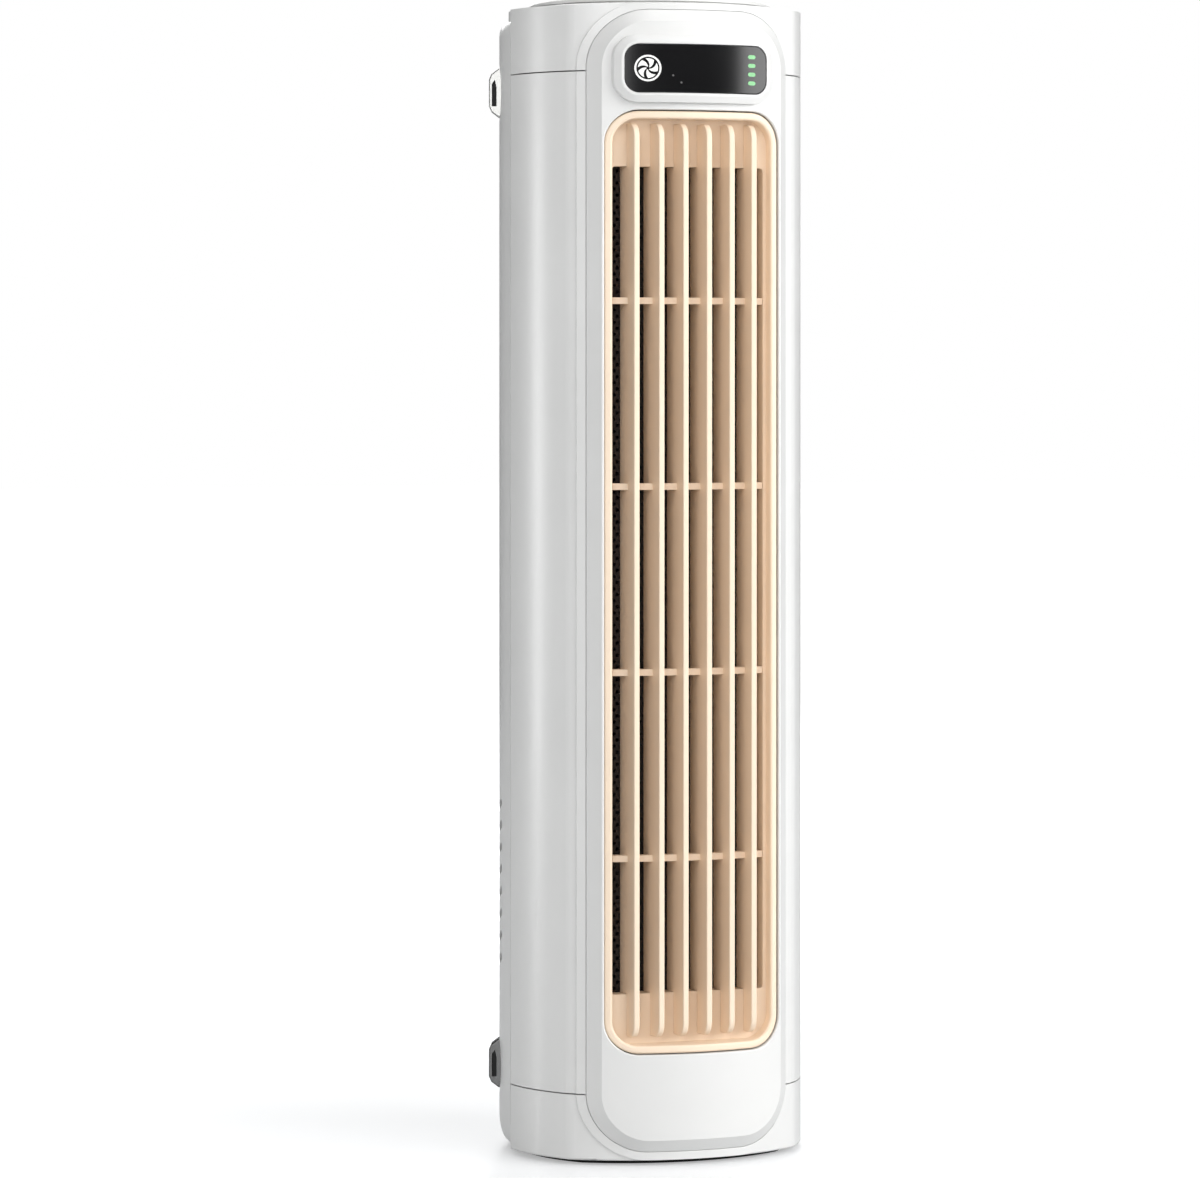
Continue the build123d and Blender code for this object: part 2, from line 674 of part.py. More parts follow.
def make_motor_mount():
    mount = tube(SHROUD_R, 23.6, 54.0, 56.0, 0, BLOWER_Y)
    mount += tube(12.5, BEARING_R + 0.02, 54.0, 56.0, 0, BLOWER_Y)
    mount += tube(5.5, BEARING_R + 0.02, 55.5, 75.4, 0, BLOWER_Y)
    spoke = block(11.5, 24.5, -1.6, 1.6, 54.0, 56.0)
    mount += [Pos(0, BLOWER_Y, 0) * Rot(0, 0, a) * spoke for a in (30, 150, 270)]
    mount -= [rod(1.3, 53, 57, x, y) for x, y in mount_screw_places()]
    mount -= rod(1.7, 53, 57, 0, BLOWER_Y + 8.6)
    return mount


def make_mount_screws():
    screws = []
    for x, y in mount_screw_places():
        screw = rod(1.2, 48.5, 56.2, x, y) + rod(2.2, 56.02, 57.4, x, y)
        screw -= block(x - 1.2, x + 1.2, y - 0.25, y + 0.25, 56.8, 58)
        screw -= block(x - 0.25, x + 0.25, y - 1.2, y + 1.2, 56.8, 58)
        screws.append(screw)
    return Compound(children=screws)


def make_blower_shroud():
    return tube(SHROUD_R, SHROUD_R - SHROUD_T, SHROUD_LOW, SHROUD_HIGH, 0, BLOWER_Y)


def make_diffuser():
    low = SHROUD_HIGH + 0.1
    high = DUCT_LOW - 0.1
    ring = tube(SHROUD_R, SHROUD_R - SHROUD_T, low, high, 0, BLOWER_Y)
    profile = Polyline((15.0, low), (16.2, low), (13.0, high - 2), (9.0, high + 6), (0, high + 9),
                       (0, high + 7.6), (8.2, high + 4.8), (11.8, high - 2.4), close=True)
    hub = Pos(0, BLOWER_Y, 0) * revolve(Plane.XZ * make_face(profile), Axis.Z, 360)
    vanes = twisted_blades(VANE_COUNT, 14.4, SHROUD_R - 0.8, 1.1, low + 1.0, high - 4, -30)
    return ring + hub + vanes


# ---- electronics bay ----
def make_bay_deck():
    deck = rod(INNER_R - 0.15, DECK_Z + 0.05, DECK_Z + DECK_T) & block(-50, 50, DUCT_FRONT_Y, 50, 0, 60)
    deck += [rod(3.0, DECK_Z + 1, 53.9, x, y) for x, y in mount_screw_places()]
    deck -= [rod(1.2, 48, 55, x, y) for x, y in mount_screw_places()]
    deck -= rod(1.7, 43, 47, 0, BLOWER_Y + 8.6)
    deck -= rod(3.2, 43, 47, CABLE_X, CABLE_Y)
    return deck


def make_battery_holder():
    holder = block(-33.5, 33.5, -19.5, 23.0, 4.8, 12.5) & rod(INNER_R - 1.2, 0, 40)
    for y in CELL_Y:
        holder -= Pos(0, y, CELL_Z) * Rot(0, 90, 0) * Cylinder(CELL_R + 0.1, CELL_L + 0.4)
    for x in (-22, 22):
        for y in (-22.5, 23.3):
            holder += rod(2.2, 4.8, PCB_Z - 0.05, x, y)
            holder += block(x - 2.2, x + 2.2, min(y, y * 0.8), max(y, y * 0.8), 4.8, 8.0)
    return holder


def make_battery_cells():
    cells = []
    for y in CELL_Y:
        can = Pos(0, y, CELL_Z) * Rot(0, 90, 0) * Cylinder(CELL_R, CELL_L - 1.5)
        can = fillet(can.edges(), 0.8)
        button = Pos(CELL_L / 2 - 0.6, y, CELL_Z) * Rot(0, 90, 0) * Cylinder(2.8, 1.2)
        cells.append(can + button)
    return Compound(children=cells)


def make_main_pcb():
    board = rod(PCB_R, PCB_Z, PCB_Z + PCB_T) & block(-40, 40, -25.5, 40, 0, 40)
    board += block(-6.5, 6.5, 25, 38.6, PCB_Z, PCB_Z + PCB_T)
    top = PCB_Z + PCB_T - 0.05
    chips = ((-14, 4, 9, 9, 4.2), (12, 0, 7, 7, 1.2), (14, 16, 5, 5, 1.0), (-18, 18, 6, 4, 2.0))
    for x, y, w, d, h in chips:
        board += block(x - w / 2, x + w / 2, y - d / 2, y + d / 2, top, top + h)
    for x in (-4, 2, 8):
        board += rod(2.5, top, top + 7.5, x, -14)
    board += block(22, 30, -18, -12, top, top + 4)
    return board


def make_usb_port():
    z = PCB_Z + PCB_T + PORT_H / 2
    shell = RectangleRounded(PORT_W, PORT_H, 1.5)
    mouth = RectangleRounded(PORT_W - 0.6, PORT_H - 0.6, 1.2)
    port = Pos(0, 43.4, z) * Rot(90, 0, 0) * extrude(shell, 7.3)
    port -= Pos(0, 44, z) * Rot(90, 0, 0) * extrude(mouth, 6.6)
    return port + block(-3.3, 3.3, 37.0, 42.2, z - 0.35, z + 0.35)


def cable_along(points, bend, radius):
    """Round cable that runs through points with eased corners."""
    path = FilletPolyline(*points, radius=bend)
    start = Plane(origin=path @ 0, z_dir=path % 0)
    return sweep(start * Circle(radius), path=path)


def make_display_cable():
    points = ((26, -15, 34.2), (26, -15, 38.0), (CABLE_X, CABLE_Y, 42.5), (CABLE_X, CABLE_Y, 303.0),
              (17.5, -31.0, 308.0))
    return cable_along(points, 1.6, 0.8)


def make_motor_cable():
    points = ((9, 26, PCB_Z + PCB_T + 0.1), (9, 26, 38), (0, BLOWER_Y + 8.6, 43), (0, BLOWER_Y + 8.6, 61.5))
    return cable_along(points, 1.8, 0.9)


def make_battery_leads():
    leads = []
    for y in CELL_Y:
        points = ((-CELL_L / 2 + 0.1, y, CELL_Z + 4), (-36.2, y, CELL_Z + 5),
                  (-36.2, y, 30.5), (-31, y, 33))
        leads.append(cable_along(points, 1.0, 0.6))
    return Compound(children=leads)


PARTS = {
    "base_cap": make_base_cap,
    "base_plate": make_base_plate,
    "base_screws": make_base_screws,
    "foot_pad": make_foot_pad,
    "body_sleeve": make_body_sleeve,
    "top_cap": make_top_cap,
    "top_lid": make_top_lid,
    "rear_cover": make_rear_cover,
    "cover_screws": make_cover_screws,
    "front_panel": make_front_panel,
    "display_bezel": make_display_bezel,
    "touch_glass": make_touch_glass,
    "touch_electrode": make_touch_electrode,
    "indicator_light_guides": make_indicator_light_guides,
    "indicator_leds": make_indicator_leds,
    "display_pcb": make_display_pcb,
    "display_screws": make_display_screws,
    "outlet_bezel": make_outlet_bezel,
    "outlet_louvre": make_outlet_louvre,
    "outlet_mesh": make_outlet_mesh,
    "air_duct": make_air_duct,
    "impeller": make_impeller,
    "motor_rotor": make_motor_rotor,
    "rotor_magnet": make_rotor_magnet,
    "motor_shaft": make_motor_shaft,
    "motor_bearings": make_motor_bearings,
    "motor_stator": make_motor_stator,
    "motor_windings": make_motor_windings,
    "motor_mount": make_motor_mount,
    "mount_screws": make_mount_screws,
    "blower_shroud": make_blower_shroud,
    "diffuser": make_diffuser,
    "bay_deck": make_bay_deck,
    "battery_holder": make_battery_holder,
    "battery_cells": make_battery_cells,
    "battery_leads": make_battery_leads,
    "main_pcb": make_main_pcb,
    "usb_port": make_usb_port,
    "display_cable": make_display_cable,
    "motor_cable": make_motor_cable,
}

os.makedirs("parts", exist_ok=True)
for name, make in PARTS.items():
    save(name, make())
save("strap_loops_lower", make_strap_loops(LOOP_Z[0]))
save("strap_loops_upper", make_strap_loops(LOOP_Z[1]))
save("strap_slot_plugs", make_strap_slot_plugs())
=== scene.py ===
import math

import bmesh
import bpy
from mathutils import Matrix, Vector
from mathutils.bvhtree import BVHTree


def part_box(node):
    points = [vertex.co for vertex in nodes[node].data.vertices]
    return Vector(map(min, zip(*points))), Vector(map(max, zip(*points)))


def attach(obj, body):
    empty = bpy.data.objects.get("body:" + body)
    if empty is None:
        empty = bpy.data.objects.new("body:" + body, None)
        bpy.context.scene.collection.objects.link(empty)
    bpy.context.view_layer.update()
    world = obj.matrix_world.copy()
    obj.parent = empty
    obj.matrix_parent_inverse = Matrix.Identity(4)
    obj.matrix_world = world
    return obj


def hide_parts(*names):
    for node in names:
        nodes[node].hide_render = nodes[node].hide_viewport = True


# Desk tower fan: materials, printed and lit details, fine mesh, camera, floor and soft light.
# Metres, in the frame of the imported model: front towards -Y, foot on z = 0.

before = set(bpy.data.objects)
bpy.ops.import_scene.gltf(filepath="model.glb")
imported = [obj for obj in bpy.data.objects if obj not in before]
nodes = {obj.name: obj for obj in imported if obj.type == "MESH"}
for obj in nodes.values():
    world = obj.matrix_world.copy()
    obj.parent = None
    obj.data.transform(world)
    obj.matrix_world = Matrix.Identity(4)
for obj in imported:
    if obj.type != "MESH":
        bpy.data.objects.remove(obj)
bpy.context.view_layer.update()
scene = bpy.context.scene

MM = 0.001
WELD = 1e-7
CASE = "case"

# ---- camera ----
CAMERA_AZIMUTH = math.radians(19.96)
CAMERA_DISTANCE = 1.4553
CAMERA_HEIGHT = 0.2259
CAMERA_LENS = 149.35
CAMERA_SENSOR = 36.0
CAMERA_SHIFT = (-0.0416, -0.1812)
CAMERA_CLIP = (0.05, 50.0)

# ---- light and floor ----
WORLD_COLOUR = (0.96, 0.98, 1.0)
WORLD_GLOW = 0.10
BACKDROP_GLOW = 1.0
FLOOR_SIZE = 16
FLOOR_COLOUR = (0.60, 0.61, 0.62)
FLOOR_ROUGHNESS = 0.34
# camera-only floor glow next to the fan, kept low so that it paints shade round the foot
FLOOR_GLOW_PAINTED_SHADE = 0.36
FADE_START = 0.05
FADE_END = 0.60
AIM_HEIGHT = 0.16
# name, azimuth, elevation, distance, (width, height), power, seen in reflections
LIGHTS = (
    ("key_near", 14, 20, 1.6, (0.9, 1.0), 7.8, False),
    ("key", 40, 20, 1.6, (0.9, 1.0), 7.6, False),
    ("key_far", 54, 20, 1.6, (0.7, 1.0), 12.0, True),
    ("front_left", -30, 15, 1.6, (0.5, 1.2), 8.6, True),
    ("left_wide", -108, 10, 1.5, (0.5, 1.0), 2.0, False),
    ("left_strip", -113, -5, 1.1, (0.16, 0.68), 4.0, True),
    ("back", 165, 30, 1.7, (1.2, 1.0), 14.0, True),
    ("top", 0, 80, 1.2, (1.0, 1.0), 4.2, True),
)

# ---- surfaces ----
TONE_BAND = (0.3, 0.7)
CLOUD_SCALE = 38
CLOUD_DETAIL = 3.0
CLOUD_SHADE = 0.972
CLOUD_GLOSS = 0.04
SPARK = 0.10
SPARK_DEPTH = 0.06 * MM
SPARK_DETAIL = 1.0
SPARK_GRAIN = 2600
BOARD_GRAIN = 1500
BOARD_COLOUR = (0.03, 0.16, 0.07)
BOARD_ROUGHNESS = 0.4
HAZE_SCALE = 60
HAZE_TONES = ((0.0030, 0.0030, 0.0034), (0.0046, 0.0046, 0.0052))
HAZE_GLOSS = (0.20, 0.24)
WINDOW_IOR = 1.52
RUB_SCALE = 900
RUB_DETAIL = 3.0
RUB_SCATTER = 0.6
RUB_BUMP = 0.05
RUB_SHADE = 0.86
RUB_GLOSS = (-0.04, 0.06)
RUB_DEPTH = 0.04 * MM
SKIN_SCALE = 1500
SKIN_BUMP = 0.25
SKIN_SHADE = 0.7
SKIN_GLOSS = (0.62, 0.78)
SKIN_DEPTH = 0.1 * MM
LAMP_SCALE = 1200
LAMP_DETAIL = 1.0
LAMP_BAND = (0.25, 0.75)
LAMP_SHADE = 0.85
LAMP_ROUGHNESS = 0.4
GUIDE_COLOUR = (0.1, 0.8, 0.3)
GUIDE_GLOW = 0.6
WHITE = (0.72, 0.72, 0.71)
CREAM = (0.87, 0.71, 0.55)
CASE_NODES = (
    "base_cap", "body_sleeve", "top_cap", "top_lid", "rear_cover", "base_plate", "display_bezel",
)
INNER_NODES = (
    "air_duct", "bay_deck", "battery_holder", "diffuser", "blower_shroud", "motor_mount",
)
STEEL_NODES = ("motor_shaft", "motor_bearings", "motor_rotor", "usb_port", "touch_electrode")
SCREW_NODES = ("base_screws", "cover_screws", "mount_screws", "display_screws")
# material: (colour, roughness, nodes)
PLASTICS = {
    "case_white": (WHITE, 0.30, CASE_NODES),
    "panel_white": (WHITE, 0.30, ("front_panel",)),
    "outlet_cream": (CREAM, 0.42, ("outlet_bezel", "outlet_louvre")),
    "inner_grey": ((0.035, 0.034, 0.033), 0.60, INNER_NODES),
    "wheel_white": ((0.6, 0.6, 0.59), 0.45, ("impeller",)),
    "cell_wrap": ((0.05, 0.16, 0.42), 0.25, ("battery_cells",)),
}
METALS = {
    "steel": ((0.6, 0.6, 0.6), 0.30, STEEL_NODES),
    "screw_zinc": ((0.5, 0.5, 0.5), 0.32, SCREW_NODES),
    # one loop metal in two tones: the upper loops lighter as painted light, the lower loops
    # darker as painted shade
    "loop_metal_painted_lit": ((0.40, 0.40, 0.39), 0.28, ("strap_loops_upper",)),
    "loop_metal_painted_shade": ((0.14, 0.14, 0.14), 0.16, ("strap_loops_lower",)),
    "copper": ((0.7, 0.33, 0.15), 0.30, ("motor_windings",)),
    "lamination": ((0.3, 0.3, 0.3), 0.40, ("motor_stator",)),
}
# material: (colour, nodes)
RUBBERS = {
    # near-black: the foot's own black rubber, which also stands in for the contact shadow line
    # under the base; on the strap slot plugs it is painted shade of the deep recesses
    "black_rubber_and_painted_shade": ((0.012, 0.012, 0.012), ("foot_pad", "strap_slot_plugs")),
    "cable_jacket": ((0.03, 0.03, 0.03), ("display_cable", "motor_cable")),
    "lead_rubber": ((0.35, 0.03, 0.02), ("battery_leads",)),
    "ferrite": ((0.05, 0.05, 0.05), ("rotor_magnet",)),
}

# ---- fine mesh behind the slats ----
HOLE_PITCH = 2.0 * MM
HOLE_R = 0.62 * MM
HOLE_SIDES = 6
# near-black brown: the mesh's own dark colour plus painted shade of the deep gaps between the
# slats
MESH_COLOUR_AND_GAP_SHADE = (0.014, 0.010, 0.008)
MESH_ROUGHNESS = 0.55

# ---- printed and lit marks on the window ----
MARK_LIFT = 0.03 * MM
RAY_START = -0.2
ICON_X = -15.8 * MM
ICON_RING_R = 3.75 * MM
ICON_RING_W = 0.52 * MM
ICON_RING_STEPS = 64
ICON_HUB_R = 0.45 * MM
ICON_BLADE_R = 2.78 * MM
ICON_BLADES = 5
ICON_BLADE_START = math.radians(20)
ICON_BLADE_SPAN = math.radians(50)
ICON_BLADE_ROOT = 0.55
ICON_SWIRL = math.radians(34)
ICON_BLADE_STEPS = 10
ICON_COLOUR = (0.90, 0.90, 0.88)
ICON_GLOW = 0.15
BAR_END_STEPS = 6
DASH_W = 2.5 * MM
DASH_H = 1.15 * MM
DASH_COUNT = 4
GUIDE_H = 1.0 * MM
DASH_COLOUR = (0.17, 0.42, 0.19)
DASH_GLOW = 0.55
DOT_W = 0.62 * MM
DOT_H = 0.60 * MM
# across from the window's middle, below its centre line
DOT_PLACES = ((-8.7 * MM, 2.0 * MM), (-6.3 * MM, 4.0 * MM))
DOT_COLOUR = (0.10, 0.10, 0.10)
DOT_GLOW = 0.05


# ---- camera, light and floor ----
def add_camera():
    """Level view from the front left, framed by the lens shift."""
    data = bpy.data.cameras.new("camera")
    data.lens = CAMERA_LENS
    data.sensor_width = CAMERA_SENSOR
    data.shift_x, data.shift_y = CAMERA_SHIFT
    data.clip_start, data.clip_end = CAMERA_CLIP
    camera = bpy.data.objects.new("camera", data)
    scene.collection.objects.link(camera)
    away = Vector((-math.sin(CAMERA_AZIMUTH), -math.cos(CAMERA_AZIMUTH), 0))
    camera.location = away * CAMERA_DISTANCE + Vector((0, 0, CAMERA_HEIGHT))
    camera.rotation_euler = (math.pi / 2, 0, -CAMERA_AZIMUTH)
    scene.camera = camera


def point_at(obj, target):
    obj.rotation_euler = (Vector(target) - obj.location).to_track_quat("-Z", "Y").to_euler()


def add_softbox(name, azimuth, elevation, distance, size, power, mirrored):
    """Area light on a circle round the fan; azimuth 0 is the front, positive towards +X."""
    data = bpy.data.lights.new(name, "AREA")
    data.shape = "RECTANGLE"
    data.size, data.size_y = size
    data.energy = power
    light = bpy.data.objects.new(name, data)
    light.visible_glossy = mirrored
    scene.collection.objects.link(light)
    turn, rise = math.radians(azimuth), math.radians(elevation)
    reach = distance * math.cos(rise)
    height = AIM_HEIGHT + distance * math.sin(rise)
    light.location = (reach * math.sin(turn), -reach * math.cos(turn), height)
    point_at(light, (0, 0, AIM_HEIGHT))


def add_world():
    """White backdrop for the camera, a dimmer even glow for the object."""
    world = bpy.data.worlds.new("studio")
    scene.world = world
    world.use_nodes = True
    tree = world.node_tree
    tree.nodes.clear()
    glow = tree.nodes.new("ShaderNodeBackground")
    glow.inputs["Color"].default_value = (*WORLD_COLOUR, 1)
    glow.inputs["Strength"].default_value = WORLD_GLOW
    backdrop = tree.nodes.new("ShaderNodeBackground")
    backdrop.inputs["Color"].default_value = (1, 1, 1, 1)
    backdrop.inputs["Strength"].default_value = BACKDROP_GLOW
    ray = tree.nodes.new("ShaderNodeLightPath")
    mix = tree.nodes.new("ShaderNodeMixShader")
    out = tree.nodes.new("ShaderNodeOutputWorld")
    tree.links.new(ray.outputs["Is Camera Ray"], mix.inputs[0])
    tree.links.new(glow.outputs[0], mix.inputs[1])
    tree.links.new(backdrop.outputs[0], mix.inputs[2])
    tree.links.new(mix.outputs[0], out.inputs["Surface"])


def add_floor():
    """Pale floor that fades to pure white away from the fan, so that no horizon shows; its
    camera-only glow is weaker near the fan, which paints shade round the foot.
    """
    bpy.ops.mesh.primitive_plane_add(size=FLOOR_SIZE, location=(0, 0, 0))
    floor = bpy.context.object
    floor.name = "floor"
    mat, tree, shader = new_material("floor_white")
    shader.inputs["Base Color"].default_value = (*FLOOR_COLOUR, 1)
    shader.inputs["Roughness"].default_value = FLOOR_ROUGHNESS
    coords = tree.nodes.new("ShaderNodeTexCoord")
    reach = tree.nodes.new("ShaderNodeVectorMath")
    reach.operation = "LENGTH"
    tree.links.new(coords.outputs["Object"], reach.inputs[0])
    fade = tree.nodes.new("ShaderNodeMapRange")
    fade.interpolation_type = "SMOOTHSTEP"
    fade.inputs["From Min"].default_value = FADE_START
    fade.inputs["From Max"].default_value = FADE_END
    tree.links.new(reach.outputs["Value"], fade.inputs["Value"])
    # camera-only glow, lower near the fan: painted shade round the foot
    glow_with_painted_shade = add_range(tree, fade.outputs["Result"], FLOOR_GLOW_PAINTED_SHADE, BACKDROP_GLOW)
    ray = tree.nodes.new("ShaderNodeLightPath")
    seen = tree.nodes.new("ShaderNodeMath")
    seen.operation = "MULTIPLY"
    tree.links.new(ray.outputs["Is Camera Ray"], seen.inputs[0])
    tree.links.new(glow_with_painted_shade, seen.inputs[1])
    glow = tree.nodes.new("ShaderNodeEmission")
    glow.inputs["Color"].default_value = (1, 1, 1, 1)
    tree.links.new(seen.outputs[0], glow.inputs["Strength"])
    both = tree.nodes.new("ShaderNodeAddShader")
    tree.links.new(shader.outputs[0], both.inputs[0])
    tree.links.new(glow.outputs[0], both.inputs[1])
    tree.links.new(both.outputs[0], tree.nodes["Material Output"].inputs["Surface"])
    floor.data.materials.append(mat)


# ---- materials ----
def new_material(name):
    mat = bpy.data.materials.new(name)
    mat.use_nodes = True
    return mat, mat.node_tree, mat.node_tree.nodes["Principled BSDF"]


def shaded(colour, share):
    return tuple(channel * share for channel in colour)


def add_noise(tree, scale, detail=2.0, rough=0.5):
    """Noise in object space, so that it stays put on the part."""
    coords = tree.nodes.new("ShaderNodeTexCoord")
    noise = tree.nodes.new("ShaderNodeTexNoise")
    noise.inputs["Scale"].default_value = scale
    noise.inputs["Detail"].default_value = detail
    noise.inputs["Roughness"].default_value = rough
    tree.links.new(coords.outputs["Object"], noise.inputs["Vector"])
    return noise.outputs["Fac"]


def add_ramp(tree, source, band, colours):
    """Colour that runs from the first to the second over a band of a 0 to 1 value."""
    ramp = tree.nodes.new("ShaderNodeValToRGB")
    for element, position, colour in zip(ramp.color_ramp.elements, band, colours):
        element.position = position
        element.color = (*colour, 1)
    tree.links.new(source, ramp.inputs["Fac"])
    return ramp.outputs["Color"]


def add_range(tree, source, low, high):
    """Value from 0..1 mapped to low..high."""
    span = tree.nodes.new("ShaderNodeMapRange")
    span.inputs["To Min"].default_value = low
    span.inputs["To Max"].default_value = high
    tree.links.new(source, span.inputs["Value"])
    return span.outputs["Result"]


def add_bump(tree, shader, source, strength, depth):
    bump = tree.nodes.new("ShaderNodeBump")
    bump.inputs["Strength"].default_value = strength
    bump.inputs["Distance"].default_value = depth
    tree.links.new(source, bump.inputs["Height"])
    tree.links.new(bump.outputs["Normal"], shader.inputs["Normal"])


def moulded_plastic(name, colour, rough, grain=SPARK_GRAIN):
    """Injection moulded plastic: fine spark texture, faint cloudiness of tone and gloss."""
    mat, tree, shader = new_material(name)
    cloud = add_noise(tree, CLOUD_SCALE, CLOUD_DETAIL)
    tone = add_ramp(tree, cloud, TONE_BAND, (shaded(colour, CLOUD_SHADE), colour))
    tree.links.new(tone, shader.inputs["Base Color"])
    gloss = add_range(tree, cloud, rough - CLOUD_GLOSS, rough + CLOUD_GLOSS)
    tree.links.new(gloss, shader.inputs["Roughness"])
    add_bump(tree, shader, add_noise(tree, grain, SPARK_DETAIL), SPARK, SPARK_DEPTH)
    return mat


def gloss_black(name):
    """Black hard-coated window with a faint even haze."""
    mat, tree, shader = new_material(name)
    haze = add_noise(tree, HAZE_SCALE)
    tree.links.new(add_ramp(tree, haze, TONE_BAND, HAZE_TONES), shader.inputs["Base Color"])
    tree.links.new(add_range(tree, haze, *HAZE_GLOSS), shader.inputs["Roughness"])
    shader.inputs["IOR"].default_value = WINDOW_IOR
    return mat


def polished_metal(name, colour, rough):
    """Polished metal with fine rubbing marks."""
    mat, tree, shader = new_material(name)
    marks = add_noise(tree, RUB_SCALE, RUB_DETAIL, RUB_SCATTER)
    tone = add_ramp(tree, marks, TONE_BAND, (shaded(colour, RUB_SHADE), colour))
    tree.links.new(tone, shader.inputs["Base Color"])
    gloss = add_range(tree, marks, rough + RUB_GLOSS[0], rough + RUB_GLOSS[1])
    tree.links.new(gloss, shader.inputs["Roughness"])
    shader.inputs["Metallic"].default_value = 1.0
    add_bump(tree, shader, marks, RUB_BUMP, RUB_DEPTH)
    return mat


def rubber(name, colour):
    """Matt rubber with a fine pebbled skin."""
    mat, tree, shader = new_material(name)
    skin = add_noise(tree, SKIN_SCALE)
    tone = add_ramp(tree, skin, TONE_BAND, (shaded(colour, SKIN_SHADE), colour))
    tree.links.new(tone, shader.inputs["Base Color"])
    tree.links.new(add_range(tree, skin, *SKIN_GLOSS), shader.inputs["Roughness"])
    add_bump(tree, shader, skin, SKIN_BUMP, SKIN_DEPTH)
    return mat


def lit_lamp(name, colour, strength):
    """Back-lit mark or light guide with a faint grain."""
    mat, tree, shader = new_material(name)
    grain = add_noise(tree, LAMP_SCALE, LAMP_DETAIL)
    tone = add_ramp(tree, grain, LAMP_BAND, (shaded(colour, LAMP_SHADE), colour))
    tree.links.new(tone, shader.inputs["Base Color"])
    tree.links.new(tone, shader.inputs["Emission Color"])
    shader.inputs["Emission Strength"].default_value = strength
    shader.inputs["Roughness"].default_value = LAMP_ROUGHNESS
    return mat


def paint(mat, names):
    for name in names:
        mesh = nodes[name].data
        mesh.materials.clear()
        mesh.materials.append(mat)


def paint_nodes():
    """Gives every carried-over node its material."""
    for name, (colour, rough, painted) in PLASTICS.items():
        paint(moulded_plastic(name, colour, rough), painted)
    for name, (colour, rough, painted) in METALS.items():
        paint(polished_metal(name, colour, rough), painted)
    for name, (colour, painted) in RUBBERS.items():
        paint(rubber(name, colour), painted)
    board = moulded_plastic("board_green", BOARD_COLOUR, BOARD_ROUGHNESS, BOARD_GRAIN)
    paint(board, ("main_pcb", "display_pcb"))
    paint(gloss_black("window_black"), ("touch_glass",))
    guide = lit_lamp("guide_green", GUIDE_COLOUR, GUIDE_GLOW)
    paint(guide, ("indicator_light_guides", "indicator_leds"))


# ---- pieces that only the looks need ----
def finish_piece(bm, name, mat):
    """Turns a bmesh into a shaded piece that rides on the case."""
    bmesh.ops.remove_doubles(bm, verts=bm.verts, dist=WELD)
    bmesh.ops.recalc_face_normals(bm, faces=bm.faces)
    mesh = bpy.data.meshes.new(name)
    bm.to_mesh(mesh)
    bm.free()
    mesh.materials.append(mat)
    piece = bpy.data.objects.new(name, mesh)
    scene.collection.objects.link(piece)
    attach(piece, CASE)
    return piece


def punched_front(bm, low, high):
    """Front face of the fine mesh: six-sided cells round holes in staggered rows."""
    rise = HOLE_PITCH * math.sqrt(3) / 2
    columns = int((high.x - low.x) / HOLE_PITCH) - 1
    rows = int((high.z - low.z) / rise) - 1
    cell_r = HOLE_PITCH / math.sqrt(3)
    turns = [math.tau * (i + 0.5) / HOLE_SIDES for i in range(HOLE_SIDES)]
    for row in range(rows):
        z = (low.z + high.z) / 2 + (row - (rows - 1) / 2) * rise
        stagger = HOLE_PITCH / 4 if row % 2 else -HOLE_PITCH / 4
        for column in range(columns):
            x = (column - (columns - 1) / 2) * HOLE_PITCH + stagger
            outer, inner = [
                [bm.verts.new((x + r * math.cos(t), low.y, z + r * math.sin(t))) for t in turns]
                for r in (cell_r, HOLE_R)
            ]
            for i in range(HOLE_SIDES):
                j = (i + 1) % HOLE_SIDES
                bm.faces.new((outer[i], outer[j], inner[j], inner[i]))
    bmesh.ops.remove_doubles(bm, verts=bm.verts, dist=WELD)


def thicken(bm, depth):
    """Closes a flat sheet to a plate: a copy behind it, and a wall along every open edge."""
    rims = [edge for edge in bm.edges if len(edge.link_faces) == 1]
    copy = bmesh.ops.duplicate(bm, geom=bm.verts[:] + bm.edges[:] + bm.faces[:])
    twin = copy["vert_map"]
    behind = [item for item in copy["geom"] if isinstance(item, bmesh.types.BMVert)]
    bmesh.ops.translate(bm, vec=(0, depth, 0), verts=behind)
    for rim in rims:
        a, b = rim.verts
        bm.faces.new((a, b, twin[b], twin[a]))


def add_punched_mesh():
    """The fine mesh behind the slats: round holes in staggered rows through a thin sheet."""
    low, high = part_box("outlet_mesh")
    bm = bmesh.new()
    punched_front(bm, low, high)
    thicken(bm, high.y - low.y)
    # its near-black brown colour also paints the shade in the gaps between the slats
    mat = moulded_plastic("mesh_dark", MESH_COLOUR_AND_GAP_SHADE, MESH_ROUGHNESS)
    sheet = finish_piece(bm, "outlet_mesh_sheet", mat)
    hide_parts("outlet_mesh")


def window_surface():
    """Gives the depth of the curved window's front at any point of the front view."""
    mesh = nodes["touch_glass"].data
    corners = [v.co for v in mesh.vertices]
    tree = BVHTree.FromPolygons(corners, [p.vertices[:] for p in mesh.polygons])

    def depth(x, z):
        hit = tree.ray_cast(Vector((x, RAY_START, z)), Vector((0, 1, 0)))[0]
        return hit.y
    return depth


def window_middle():
    low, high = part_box("touch_glass")
    return (low.z + high.z) / 2


def add_skins(bm, outline, depth):
    """Front and back face of a mark, just proud of the window and just inside it."""
    front = [bm.verts.new((x, depth(x, z) - MARK_LIFT, z)) for x, z in outline]
    back = [bm.verts.new((x, depth(x, z) + MARK_LIFT, z)) for x, z in outline]
    bm.faces.new(front)
    bm.faces.new(back[::-1])
    return front, back


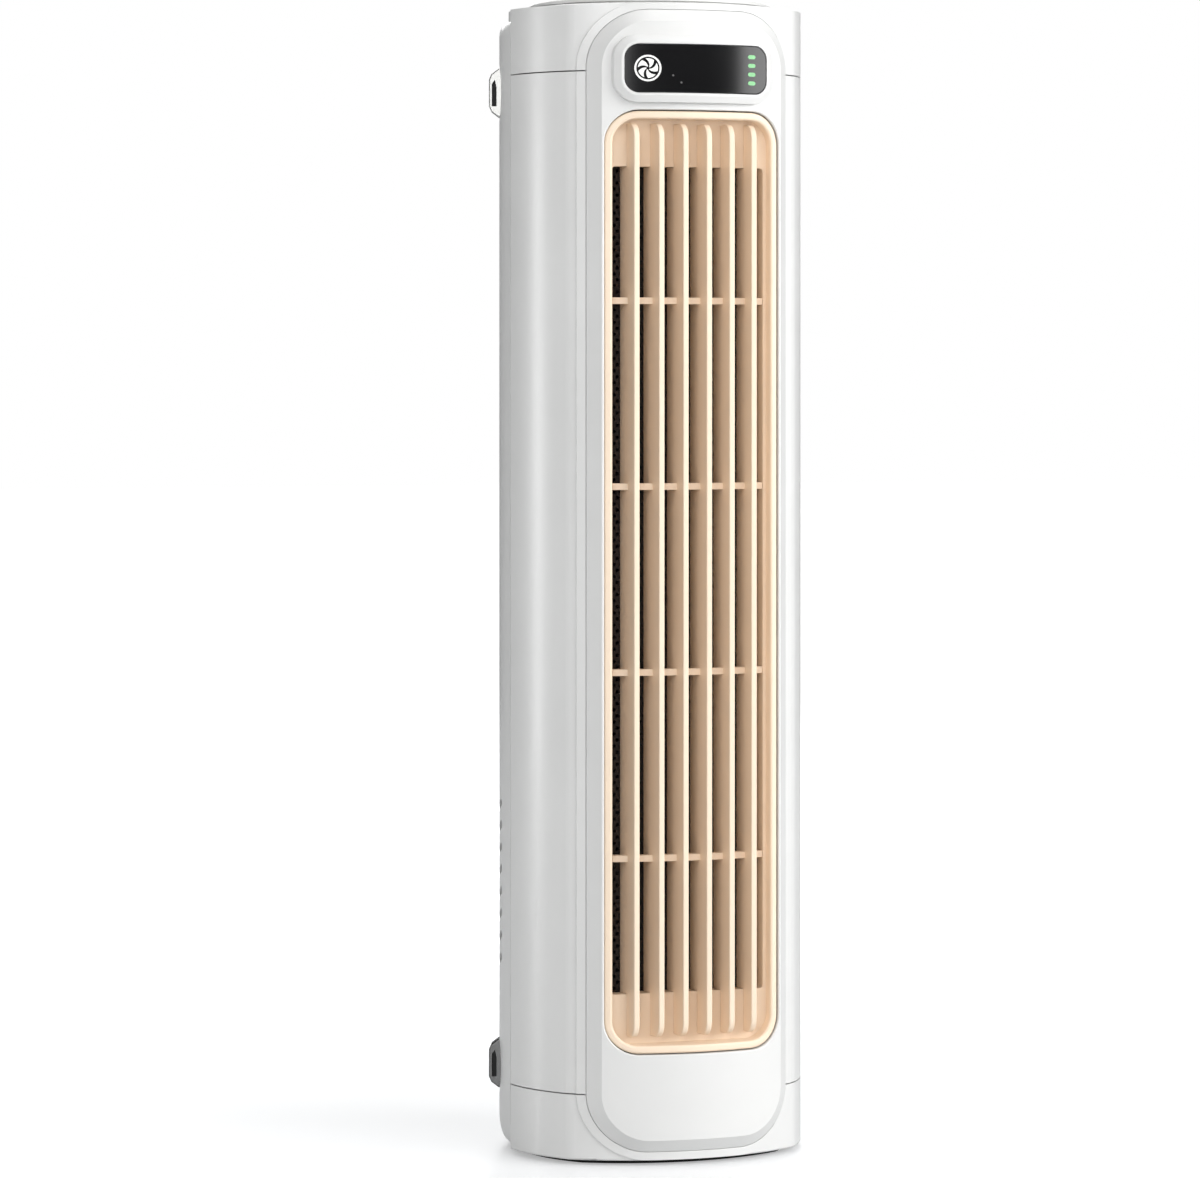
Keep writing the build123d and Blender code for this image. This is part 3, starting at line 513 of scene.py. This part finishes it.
def add_mark(bm, outline, depth):
    """One closed mark on the window."""
    front, back = add_skins(bm, outline, depth)
    for i in range(len(outline)):
        j = (i + 1) % len(outline)
        bm.faces.new((front[i], back[i], back[j], front[j]))


def on_circle(x, z, r, turn):
    return x + r * math.cos(turn), z + r * math.sin(turn)


def add_ring(bm, x, z, outer, inner, depth):
    """Flat ring of short cells that share their ends."""
    for i in range(ICON_RING_STEPS):
        start, end = (math.tau * k / ICON_RING_STEPS for k in (i, i + 1))
        corners = ((outer, start), (outer, end), (inner, end), (inner, start))
        front, back = add_skins(bm, [on_circle(x, z, r, t) for r, t in corners], depth)
        for a, b in ((0, 1), (2, 3)):
            bm.faces.new((front[a], back[a], back[b], front[b]))


def blade_outline(start):
    """Swirled fan blade in polar points: out along one edge, over the tip, back in."""
    leading, trailing = [], []
    for i in range(ICON_BLADE_STEPS + 1):
        part = i / ICON_BLADE_STEPS
        r = ICON_HUB_R + (ICON_BLADE_R - ICON_HUB_R) * part
        lean = start + ICON_SWIRL * part
        spread = ICON_BLADE_ROOT + (1 - ICON_BLADE_ROOT) * math.sqrt(part)
        leading.append((r, lean))
        trailing.append((r, lean + ICON_BLADE_SPAN * spread))
    first, last = leading[-1][1], trailing[-1][1]
    tip = [(ICON_BLADE_R, first + (last - first) * i / ICON_BLADE_STEPS)
           for i in range(1, ICON_BLADE_STEPS)]
    return leading + tip + trailing[::-1]


def add_touch_icon():
    """Touch key: a ring round a small five-bladed fan."""
    depth = window_surface()
    middle = window_middle()
    bm = bmesh.new()
    add_ring(bm, ICON_X, middle, ICON_RING_R, ICON_RING_R - ICON_RING_W, depth)
    for blade in range(ICON_BLADES):
        outline = blade_outline(math.tau * blade / ICON_BLADES + ICON_BLADE_START)
        add_mark(bm, [on_circle(ICON_X, middle, r, t) for r, t in outline], depth)
    mat = lit_lamp("icon_white", ICON_COLOUR, ICON_GLOW)
    finish_piece(bm, "touch_icon", mat)


def rounded_bar(x, z, width, height):
    """Outline of a bar with round ends."""
    r = height / 2
    points = []
    for side in (1, -1):
        for i in range(BAR_END_STEPS + 1):
            turn = math.radians(-90 + 180 * i / BAR_END_STEPS)
            reach = width / 2 - r + r * math.cos(turn)
            points.append((x + side * reach, z + side * r * math.sin(turn)))
    return points


def add_indicator_dashes():
    """Four lit dashes over the light guides."""
    low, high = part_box("indicator_light_guides")
    depth = window_surface()
    x = (low.x + high.x) / 2
    pitch = (high.z - low.z - GUIDE_H) / (DASH_COUNT - 1)
    bm = bmesh.new()
    for i in range(DASH_COUNT):
        add_mark(bm, rounded_bar(x, low.z + GUIDE_H / 2 + i * pitch, DASH_W, DASH_H), depth)
    mat = lit_lamp("dash_green", DASH_COLOUR, DASH_GLOW)
    finish_piece(bm, "indicator_dashes", mat)


def add_sensor_dots():
    """Two tiny grey dots beside the icon."""
    depth = window_surface()
    middle = window_middle()
    bm = bmesh.new()
    for x, drop in DOT_PLACES:
        add_mark(bm, rounded_bar(x, middle - drop, DOT_W, DOT_H), depth)
    mat = lit_lamp("dot_grey", DOT_COLOUR, DOT_GLOW)
    finish_piece(bm, "sensor_dots", mat)


add_camera()
add_world()
add_floor()
for light in LIGHTS:
    add_softbox(*light)
paint_nodes()
add_punched_mesh()
add_touch_icon()
add_indicator_dashes()
add_sensor_dots()

scene.view_settings.view_transform = "Standard"
scene.view_settings.look = "None"
